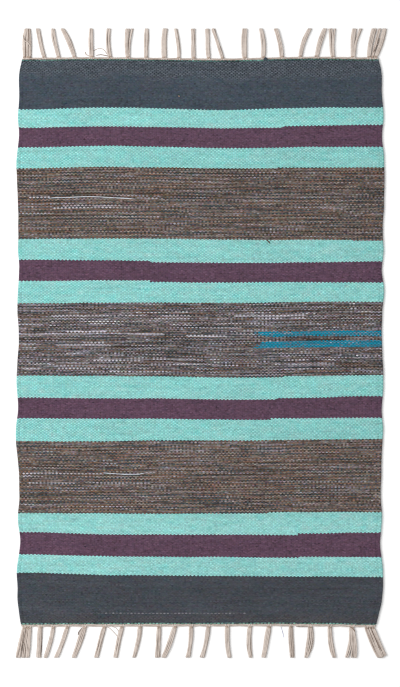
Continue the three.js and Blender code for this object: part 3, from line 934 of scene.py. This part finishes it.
# Locks that part towards the tip, locks that are wide halfway, and one cut on a slant: the root of
# each, and how far its outer yarns swing away, bulge, or fall short.
FORKS = {-109: 1.8, 201: 2.0, 232: 4.2, 229.5: -4.2}
WIDE_MIDDLES = {-190.5: 1.6, -164: 1.2, -175: 3.2, -38.5: 2.4, 167: 4.2, 104.5: 1.6, 266: 2.0, 137.5: 1.4}
SLANTED_TIPS = {262: 4.2}

# The yarn of the locks: radius, distance between neighbours, depth of the waists between plies as a
# share of the radius, lay length, and the points around and along it.
YARN = {"radius": 1.05, "pitch": 1.7, "ply_depth": 0.1, "turn": 9.0, "sides": 8, "steps": 24}

# Each yarn starts its twist at another angle. Some are thinner, sunk between the others and browner:
# the lower a yarn's tone, the more of the gaps' painted shade it takes.
YARN_PHASES = (0, 6)
SUNK_YARNS = 0.15
SUNK_WIDTH = 0.75
SUNK_TONES = (0.4, 0.85)
FULL_WIDTHS = (0.92, 1.1)
FULL_TONES = (0.88, 1.0)


def yarn_tubes(paths, radius, turn, sides, phase, tone):
    """Two-ply yarns along many paths of the same number of points. The section is a circle with two
    waists, drawn in by the ply depth where the plies meet, and it turns once every lay length.
    Returns points, triangles and for each point the length along the yarn, the height in its
    section from -1 to 1, and its yarn's tone."""
    count, steps, _ = paths.shape
    ahead = np.gradient(paths, axis=1)
    length = np.linalg.norm(ahead, axis=2, keepdims=True)
    ahead = ahead / np.maximum(length, 1e-9)
    across = np.cross(ahead, np.array([0.0, 0.0, 1.0]))
    across = across / np.maximum(np.linalg.norm(across, axis=2, keepdims=True), 1e-6)
    up = np.cross(across, ahead)
    travelled = np.cumsum(length[..., 0], axis=1)
    angle = np.linspace(0, 2 * np.pi, sides, endpoint=False)
    lobe = angle[None, None, :] - (2 * np.pi * travelled / turn + phase[:, None])[..., None]
    reach = radius[..., None] * (1 - YARN["ply_depth"] * (1 - np.abs(np.cos(lobe))))
    ring = (
        paths[:, :, None, :]
        + across[:, :, None, :] * (reach * np.cos(angle))[..., None]
        + up[:, :, None, :] * (reach * np.sin(angle))[..., None]
    )
    points = np.concatenate([ring.reshape(-1, 3), paths[:, 0], paths[:, -1]])
    yarn = np.arange(count)[:, None, None] * steps * sides
    step = np.arange(steps - 1)[None, :, None] * sides
    side = np.arange(sides)[None, None, :]
    a = yarn + step + side
    b = yarn + step + (side + 1) % sides
    walls = np.stack([a, b + sides, b, a, a + sides, b + sides], axis=-1).reshape(-1, 3)
    first, first_next = a[:, 0], b[:, 0]
    last, last_next = a[:, -1] + sides, b[:, -1] + sides
    start = np.broadcast_to(count * steps * sides + np.arange(count)[:, None], first.shape)
    caps = [
        np.stack([first, first_next, start], axis=-1).reshape(-1, 3),
        np.stack([last_next, last, start + count], axis=-1).reshape(-1, 3),
    ]
    along = np.concatenate([np.repeat(travelled.reshape(-1), sides), np.zeros(count), travelled[:, -1]])
    around = np.concatenate([np.tile(np.sin(angle), count * steps), np.ones(2 * count)])
    tones = np.concatenate([np.repeat(tone, steps * sides), tone, tone])
    return points, np.concatenate([walls] + caps), np.stack([along, around, tones], axis=1)


def yarn_piece(name, tubes, material):
    """One piece made of several sets of yarn tubes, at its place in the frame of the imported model."""
    starts = np.cumsum([0] + [len(points) for points, triangles, lay in tubes[:-1]])
    points = np.concatenate([points for points, triangles, lay in tubes]) + np.array([CLOTH_X, CLOTH_Y, 0])
    triangles = np.concatenate([tube[1] + start for tube, start in zip(tubes, starts)])
    lay = np.concatenate([lay for points, triangles, lay in tubes]).astype(np.float32)
    piece, used = make_mesh(name, points * MM, triangles)
    mesh = piece.data
    set_layer(mesh, "lay", lay[triangles.ravel(), :2])
    mesh.attributes.new("yarn_tone", "FLOAT", "POINT").data.foreach_set("value", lay[used, 2])
    mesh.materials.append(material)
    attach(piece, "root")
    return piece


# The two tones of the warp, and of the hitches' yarn, which is darker as painted shade at the knots,
# where along the noise each is full, and the painted shade of the gaps between yarns.
WARP_CREAM = (208, 196, 187)
WARP_SHADE = (184, 170, 160)
WARP_TONES = (0.45, 0.85)
WARP_GAP_SHADE = (0.5, 0.43, 0.39)
FIBRE_DEPTH = 0.2
SHADED_KNOT_CREAM = (190, 170, 155)
SHADED_KNOT_DARK = (128, 106, 92)


def warp_material(name, colour, groove):
    """Undyed cotton warp: warm cream in slow patches of two tones, browner by the gaps' painted shade down
    the sides of the yarn and under it, where it meets its neighbours, and in yarns of low tone; noise
    makes fibres."""
    material, shader = matt_material(name, roughness=0.85, sheen=0.2)
    place = add_node(material, "TexCoord")
    patch = add_node(material, "TexNoise", {"Scale": 140.0, "Detail": 3.0})
    fibre = add_node(material, "TexNoise", {"Scale": 2400.0, "Detail": 2.0})
    both = add_node(material, "Math", {1: 0.5}, operation="MULTIPLY_ADD")
    ramp = add_node(material, "ValToRGB")
    for element, position, shade in zip(ramp.color_ramp.elements, WARP_TONES, (groove, colour)):
        element.position = position
        element.color = (*linear(*shade), 1)
    lay = add_node(material, "UVMap", uv_map="lay")
    parts = add_node(material, "SeparateXYZ")
    # Painted shade down the yarn's sides and under it, where it meets its neighbours, less in yarns of high
    # tone.
    side = add_node(
        material, "MapRange", {"From Min": -0.4, "From Max": 0.75, "To Min": 0.78},
        interpolation_type="SMOOTHSTEP",
    )
    yarn = add_node(material, "Attribute", attribute_name="yarn_tone")
    amount = add_node(material, "Math", operation="MULTIPLY")
    gap = add_node(material, "Mix", {"A": (*WARP_GAP_SHADE, 1), "B": (1, 1, 1, 1)}, data_type="RGBA")
    tone = add_node(material, "Mix", {"Factor": 1.0}, data_type="RGBA", blend_type="MULTIPLY")
    bump = add_node(material, "Bump", {"Strength": 0.5, "Distance": FIBRE_DEPTH * MM})
    join_nodes(
        material,
        (place, "Object", patch, "Vector"), (place, "Object", fibre, "Vector"),
        (fibre, "Fac", both, 0), (patch, "Fac", both, 2), (both, "Value", ramp, "Fac"),
        (lay, "UV", parts, "Vector"), (parts, "Y", side, "Value"), (side, "Result", amount, 0),
        (yarn, "Fac", amount, 1), (amount, "Value", gap, "Factor"),
        (ramp, "Color", tone, "A"), (gap, "Result", tone, "B"), (tone, "Result", shader, "Base Color"),
        (fibre, "Fac", bump, "Height"), (bump, "Normal", shader, "Normal"),
    )
    return material


warp_cotton = warp_material("warp_cotton", WARP_CREAM, WARP_SHADE)
# The hitches are painted darker, as the shade where the knots sit on the locks.
shaded_knot_cotton = warp_material("shaded_knot_cotton", SHADED_KNOT_CREAM, SHADED_KNOT_DARK)


def end_line(x, end):
    """The cloth's edge at one end: the height of its first or last stripe line at a place across."""
    line = STRIPE_LINES[0] if end == "fringe_top" else STRIPE_LINES[-1]
    return smooth_through(np.asarray(x, float), STRIPE_LINE_PLACES, line)


# The width of the corded strip, and how far past the cloth's edge the warps start.
STRIP_WIDTH = {"fringe_top": 3.0, "fringe_bottom": 4.0}
WARP_START = 0.6

# A lock's knot: its place and length as shares of the lock, how tight it pinches the yarns and how
# far they fan out under it, how far it lies past the strip, the heights of its two layers, and the
# least height of a yarn on its way there.
KNOT = {"place": 0.1, "length": 0.045, "pinch": 0.35, "fan": 0.7, "past": 1.4}
KNOT_HEIGHTS = np.array([1.54, 2.44])
ROOT_HEIGHT = 1.2

# How a lock lies: its least number of yarns in the lower layer, the height of its two layers in yarn
# radiuses, how its yarns wander, where a fork starts, from which seat on and how it curves, and how
# unevenly the tips are cut.
LEAST_YARNS = 3
LAYER_HEIGHTS = np.array([1.1, 2.8])
WANDER = {"share": 0.32, "waves": 3, "sideways": 2, "rise": 0.25}
FORK = {"start": 0.4, "seat": 0.12, "power": 1.5}
TIP_UNEVENNESS = 0.6


def lock_paths(lock, end, rng):
    """The paths of one lock's yarns: from under the cord they close in to the knot, then follow the
    parabola through knot, halfway place and tip, side by side in two layers, each with a wander."""
    root, mid, tip, root_width, tip_width = lock
    outward = OUTWARD[end]
    radius = YARN["radius"]
    lower = max(LEAST_YARNS, int(round((root_width + tip_width) / (2 * YARN["pitch"]))))
    upper = lower - 1
    seats = np.concatenate([(np.arange(lower) + 0.5) / lower - 0.5, (np.arange(upper) + 1.0) / lower - 0.5])
    layer = np.repeat([0, 1], [lower, upper])
    count = lower + upper
    t = np.linspace(0, 1, YARN["steps"])[None, :]
    out = np.clip((t - KNOT["place"]) / (1 - KNOT["place"]), 0, 1)
    middle = root * (1 - out) * (1 - 2 * out) + mid * 4 * out * (1 - out) + tip * out * (2 * out - 1)
    width = root_width * (1 - out) + tip_width * out + YARN["pitch"] - 2 * radius
    width = width + WIDE_MIDDLES.get(root, 0) * np.sin(np.pi * out)
    knot = np.exp(-(((t - KNOT["place"]) / KNOT["length"]) ** 2))
    fan = 1 + KNOT["fan"] * np.clip(1 - t / KNOT["place"], 0, 1)
    seat = seats[:, None] * width * fan * (1 - KNOT["pinch"] * knot)
    bend = np.stack([rng.standard_normal(count) for _ in range(WANDER["waves"])])
    wander = sum(
        (WANDER["share"] / (wave + 1)) * bend[wave][:, None] * np.sin(np.pi * (wave + 1) * out + wave)
        for wave in range(WANDER["waves"])
    )
    away = FORKS.get(root, 0)
    forked = np.clip((out - FORK["start"]) / (1 - FORK["start"]), 0, 1) ** FORK["power"]
    swing = away * (np.sign(away) * seats > FORK["seat"])[:, None] * forked
    edge = end_line(root, end)
    start = edge + outward * WARP_START
    knot_y = edge + outward * (STRIP_WIDTH[end] + KNOT["past"])
    short = SLANTED_TIPS.get(root, 0) * (seats + 0.5)
    reach = outward * (LOCK_REACH - short - rng.uniform(0, TIP_UNEVENNESS, count))[:, None]
    under = t < KNOT["place"]
    y = np.where(under, start + (knot_y - start) * t / KNOT["place"], knot_y + (reach - knot_y) * out)
    x = middle + seat + swing + wander * out * WANDER["sideways"]
    rest = LAYER_HEIGHTS[layer][:, None] * radius
    z = rest * (1 - knot) + knot * KNOT_HEIGHTS[layer][:, None] + WANDER["rise"] * np.abs(wander)
    z = np.where(under, np.maximum(z, ROOT_HEIGHT), z)
    return np.stack([x, y, z], axis=2)


# The yarn hitched round a lock: its turns, points and thickness, its height and half height, and its
# half width as a share of the lock's. Then the angles at which it starts, how far it lies to a side
# of the root, how it slants along the lock, how far past the strip it is, and how it bows.
HITCH = {"turns": 1.3, "points": 28, "radius": 0.75, "middle": 2.35, "height": 1.5, "width": 0.3}
HITCH_STARTS = (0, 2)
HITCH_ASIDE = (-1, 1)
HITCH_SLANT = (-1.1, 1.2)
HITCH_PAST = 1.0
HITCH_BOW = 0.35


def hitch_path(lock, end, rng):
    """The yarn hitched round a lock: a slanting ring of a turn and a third, flattened to the floor."""
    root, root_width = lock[0], lock[3]
    outward = OUTWARD[end]
    turn = np.linspace(0, 2 * np.pi * HITCH["turns"], HITCH["points"]) + rng.uniform(*HITCH_STARTS)
    knot_y = end_line(root, end) + outward * (STRIP_WIDTH[end] + HITCH_PAST)
    x = root + rng.uniform(*HITCH_ASIDE) + HITCH["width"] * root_width * np.cos(turn)
    z = HITCH["middle"] + HITCH["height"] * np.sin(turn)
    y = knot_y + outward * np.linspace(*HITCH_SLANT, len(turn)) + HITCH_BOW * np.sin(turn * 0.5)
    return np.stack([x, y, z], axis=1)[None]


# The cord along the cloth's edge: its strands and their points and thickness, how far it reaches past
# the outer locks, its distance from the cloth, and its height and half height. It stays inside the
# sides of the strip by the inset.
CORD = {"strands": 3, "points": 300, "radius": 0.95, "past": 2.5, "gap": 0.35, "middle": 1.9, "height": 0.8}
CORD_INSET = 0.75
# The lengths of its wind and of the slower change of pace, each over two pi, and how strong that is.
CORD_WIND = {"length": 11.0, "change": 0.8, "change_length": 37.0}
# The tone of each strand of the cord at each end: the lower it is, the more of the gaps' painted shade it
# takes.
CORD_TONES = {"fringe_top": (0.78, 0.64, 0.5), "fringe_bottom": (1.0, 0.9, 0.75)}


def edge_cord_paths(end):
    """Warps lying sideways along the cloth's edge: three yarns that wind round each other slowly."""
    locks = LOCKS[end]
    x = np.linspace(locks[0][0] - CORD["past"], locks[-1][0] + CORD["past"], CORD["points"])
    middle = end_line(x, end) + OUTWARD[end] * (CORD["gap"] + STRIP_WIDTH[end] / 2)
    phase = x / CORD_WIND["length"] + CORD_WIND["change"] * np.sin(x / CORD_WIND["change_length"])
    across = STRIP_WIDTH[end] / 2 - CORD_INSET
    paths = []
    for strand in range(CORD["strands"]):
        angle = phase + strand * 2 * np.pi / CORD["strands"]
        z = CORD["middle"] + CORD["height"] * np.sin(angle)
        paths.append(np.stack([x, middle + across * np.cos(angle), z], axis=1))
    return np.stack(paths)


# How thick a lock's yarns are where they are cut, and a cord or hitch at its ends, as shares.
LOCK_TIP_WIDTH = 0.85
ROUNDED_END = 0.5


def rounded(paths, radius):
    """An even thickness along paths that is less at both ends."""
    thick = np.full(paths.shape[:2], radius)
    thick[:, [0, -1]] *= ROUNDED_END
    return thick


def make_fringe(end, seed):
    """The three pieces of one fringe: its edge cord, its locks and their hitches."""
    rng = np.random.default_rng(seed)
    turn, sides = YARN["turn"], YARN["sides"]
    locks, hitches = [], []
    for lock in LOCKS[end]:
        paths = lock_paths(lock, end, rng)
        count = len(paths)
        sunk = rng.random(count) < SUNK_YARNS
        tone = np.where(sunk, rng.uniform(*SUNK_TONES, count), rng.uniform(*FULL_TONES, count))
        width = np.where(sunk, SUNK_WIDTH, rng.uniform(*FULL_WIDTHS, count))
        thick = np.full(paths.shape[:2], YARN["radius"]) * width[:, None]
        thick[:, -1] *= LOCK_TIP_WIDTH
        locks.append(yarn_tubes(paths, thick, turn, sides, rng.uniform(*YARN_PHASES, count), tone))
        hitch = hitch_path(lock, end, rng)
        thick = rounded(hitch, HITCH["radius"])
        hitches.append(yarn_tubes(hitch, thick, turn, sides, np.zeros(1), np.ones(1)))
    cord = edge_cord_paths(end)
    phase = np.arange(float(CORD["strands"]))
    cords = [yarn_tubes(cord, rounded(cord, CORD["radius"]), turn, sides, phase, np.array(CORD_TONES[end]))]
    side = end.split("_")[1]
    pieces = (("cord", cords, warp_cotton), ("locks", locks, warp_cotton), ("hitches", hitches, shaded_knot_cotton))
    for part, tubes, material in pieces:
        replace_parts(yarn_piece(f"{part}_{side}", tubes, material), end)


make_fringe("fringe_top", seed=101)
make_fringe("fringe_bottom", seed=102)


# Loose threads
# Ends of yarn that worked out of the weave or the fringe: cream warp beside the locks, a slate loop
# at the top edge, two pale threads and a brown tail on the marl, a tan fleck and a lavender end. Dark
# threads besides: a few loose ends, and lines laid along some locks as painted shade in the gaps
# between their yarns.

# Each thread: thickness, height over the floor, and places across and along the rug.
LOOSE_THREADS = {
    "warp_ends": (
        (0.5, 0.5, ((-161.1, 442.7), (-155.8, 445.6), (-149.8, 446.2), (-145.2, 443.5), (-141.5, 438.2))),
        (0.5, 0.5, ((-142.2, -428.8), (-136.2, -432.6), (-130.1, -438.6), (-124.1, -445.4))),
        (0.4, 0.4, ((-137.7, -428.0), (-127.1, -431.8), (-122.6, -438.6))),
        (0.9, 4.6, ((-256.2, 449.0), (-261.5, 455.1), (-266.2, 458.6), (-268.0, 466.0))),
        (0.7, 0.7, ((-174.0, 441.0), (-172.5, 437.0), (-166.0, 434.5), (-160.0, 434.0))),
    ),
    # Dark threads: loose ends, and lines along some locks that are painted shade in the gaps between their
    # yarns.
    "dark_ends_and_gap_shade": (
        (0.55, 0.6, ((-157.4, 435.9), (-150.0, 436.8), (-143.0, 435.6), (-138.0, 434.4))),
        (0.5, 0.5, ((-239.4, -431.0), (-239.2, -445.0), (-239.7, -458.0), (-240.6, -471.0))),
        (0.6, 1.4, ((-175.5, -429.0), (-180.0, -433.0), (-183.6, -437.6), (-184.6, -442.0))),
        (0.4, 3.7, ((145.2, -428.8), (154.0, -429.4), (163.4, -429.2))),
        (0.6, 3.9, ((226.0, -428.5), (231.0, -432.0), (234.6, -436.6))),
        (0.4, 4.4, ((-259.8, 476.0), (-259.6, 465.0), (-260.2, 457.0))),
        (0.4, 4.4, ((-264.2, 449.0), (-263.8, 440.0), (-264.0, 434.0))),
        (0.4, 4.4, ((-266.6, -436.0), (-268.6, -450.0), (-270.8, -466.0))),
        (0.4, 4.4, ((262.6, 440.0), (267.0, 450.0), (271.2, 462.0))),
        (0.45, 4.4, ((259.0, -434.0), (266.4, -449.0), (274.2, -466.0))),
    ),
    "slate_loop": (
        (1.5, 3.4, ((97.6, 426.8), (97.6, 429.6), (99.3, 431.2), (101.0, 429.6), (101.0, 426.8))),
    ),
    "brown_tail": ((0.8, 4.7, ((100.6, 156.0), (103.6, 153.7), (105.9, 150.7))),),
    "pale_float": (
        (0.6, 4.4, (
            (-229.0, 219.0), (-219.0, 220.0), (-202.7, 220.3), (-184.6, 221.1), (-169.5, 221.5),
            (-151.3, 221.1), (-136.2, 220.3), (-118.0, 219.3), (-97.0, 218.0),
        )),
        (0.55, 4.4, (
            (-146.0, -196.3), (-134.0, -197.2), (-120.0, -198.2), (-106.0, -199.0), (-94.0, -198.5),
            (-84.0, -196.8),
        )),
    ),
    "tan_fleck": ((0.55, 4.4, ((-33.0, 373.9), (-31.8, 373.7), (-30.6, 373.4))),),
    "lavender_end": ((0.35, 0.35, ((122.6, -429.5), (124.8, -437.1), (127.1, -446.2))),),
}
# The threads that are not plain cream warp: the dark ends and lines of painted shade, and those that
# belong with the yarns of the cloth.
THREAD_COLOURS = {
    "dark_ends_and_gap_shade": (132, 110, 96), "slate_loop": (62, 70, 80), "brown_tail": (92, 70, 56),
    "pale_float": (218, 225, 235), "tan_fleck": (196, 160, 130), "lavender_end": (182, 186, 214),
}
# The points along a thread, its lay length and the points round it, the steps over which it tapers,
# and the shade of its second tone.
THREAD = {"steps": 24, "turn": 3.0, "sides": 8, "taper_steps": 3, "groove": 0.75}


def smooth_path(places, height):
    """A smooth line through places, by the cubic of the cloth's edges taken over the place's number."""
    places = np.array(places)
    at = np.linspace(0, len(places) - 1, THREAD["steps"])
    across, along = [smooth_through(at, np.arange(len(places)), places[:, axis]) for axis in (0, 1)]
    return np.stack([across, along, np.full(len(at), height)], axis=1)[None]


def tapered(radius):
    """The thickness along a thread, from half at its ends to all of it after a few steps."""
    step = np.arange(THREAD["steps"])
    return radius * np.clip(np.minimum(step, step[::-1]) / THREAD["taper_steps"] + 0.5, 0, 1)[None]


for name, threads in LOOSE_THREADS.items():
    tubes = [
        yarn_tubes(
            smooth_path(places, height), tapered(radius), THREAD["turn"], THREAD["sides"],
            np.zeros(1), np.ones(1))
        for radius, height, places in threads
    ]
    material = warp_cotton
    if name in THREAD_COLOURS:
        colour = THREAD_COLOURS[name]
        material = warp_material(name, colour, [THREAD["groove"] * channel for channel in colour])
    yarn_piece(name, tubes, material)


# The studio
# A plain pale floor under the rug, a camera straight above it, and soft light from the left. The
# floor lies a hair under the rug, and is so wide that its edge never shows.

FLOOR_SIZE = 40.0
FLOOR_DROP = 0.0001

floor_mesh = bpy.data.meshes.new("floor")
half = FLOOR_SIZE / 2
corners = [(x, y, -FLOOR_DROP) for x, y in ((-half, -half), (half, -half), (half, half), (-half, half))]
floor_mesh.from_pydata(corners, [], [(0, 1, 2, 3)])
floor_paint = bpy.data.materials.new("floor_paint")
floor_paint.use_nodes = True
floor_shader = floor_paint.node_tree.nodes["Principled BSDF"]
floor_shader.inputs["Base Color"].default_value = (1, 1, 1, 1)
floor_shader.inputs["Roughness"].default_value = 0.9
floor_shader.inputs["Specular IOR Level"].default_value = 0.0
floor_mesh.materials.append(floor_paint)
show("floor", floor_mesh)

# One pixel of the photograph is this many millimetres of rug. The cloth's middle lies a little above
# the picture's middle.
PIXEL = 1.513
PHOTO_HEIGHT = 687
PHOTO_MIDDLE = (200.0, 343.5)
CLOTH_MIDDLE = (200.0, 343.1)
CAMERA_HEIGHT = 3.2
SENSOR = 36.0

camera_data = bpy.data.cameras.new("camera")
camera_data.sensor_width = SENSOR
camera_data.lens = SENSOR * (CAMERA_HEIGHT - THICKNESS * MM) / (PHOTO_HEIGHT * PIXEL * MM)
camera = show("camera", camera_data)
camera.location = (
    (CLOTH_X + (PHOTO_MIDDLE[0] - CLOTH_MIDDLE[0]) * PIXEL) * MM,
    (CLOTH_Y + (CLOTH_MIDDLE[1] - PHOTO_MIDDLE[1]) * PIXEL) * MM,
    CAMERA_HEIGHT,
)
bpy.context.scene.camera = camera

# A wide soft lamp to the left, facing the rug's middle, and an even glow from all round.
WINDOW_PLACE = (-2.0, 0.3, 2.4)
WINDOW_SIZE = 1.6
WINDOW_POWER = 74
GLOW = 0.62

window = bpy.data.lights.new("window_light", "AREA")
window.size = WINDOW_SIZE
window.energy = WINDOW_POWER
lamp = show("window_light", window)
lamp.location = WINDOW_PLACE
towards = -np.array(WINDOW_PLACE) / np.linalg.norm(WINDOW_PLACE)
lamp.rotation_euler = (np.arccos(-towards[2]), 0, np.arctan2(towards[0], -towards[1]) + np.pi)

world = bpy.data.worlds.new("studio")
world.use_nodes = True
glow = world.node_tree.nodes["Background"]
glow.inputs["Color"].default_value = (1, 1, 1, 1)
glow.inputs["Strength"].default_value = GLOW
bpy.context.scene.world = world
bpy.context.scene.view_settings.view_transform = "Standard"
# A little sharper than usual, as the photograph is.
bpy.context.scene.cycles.filter_width = 1.2
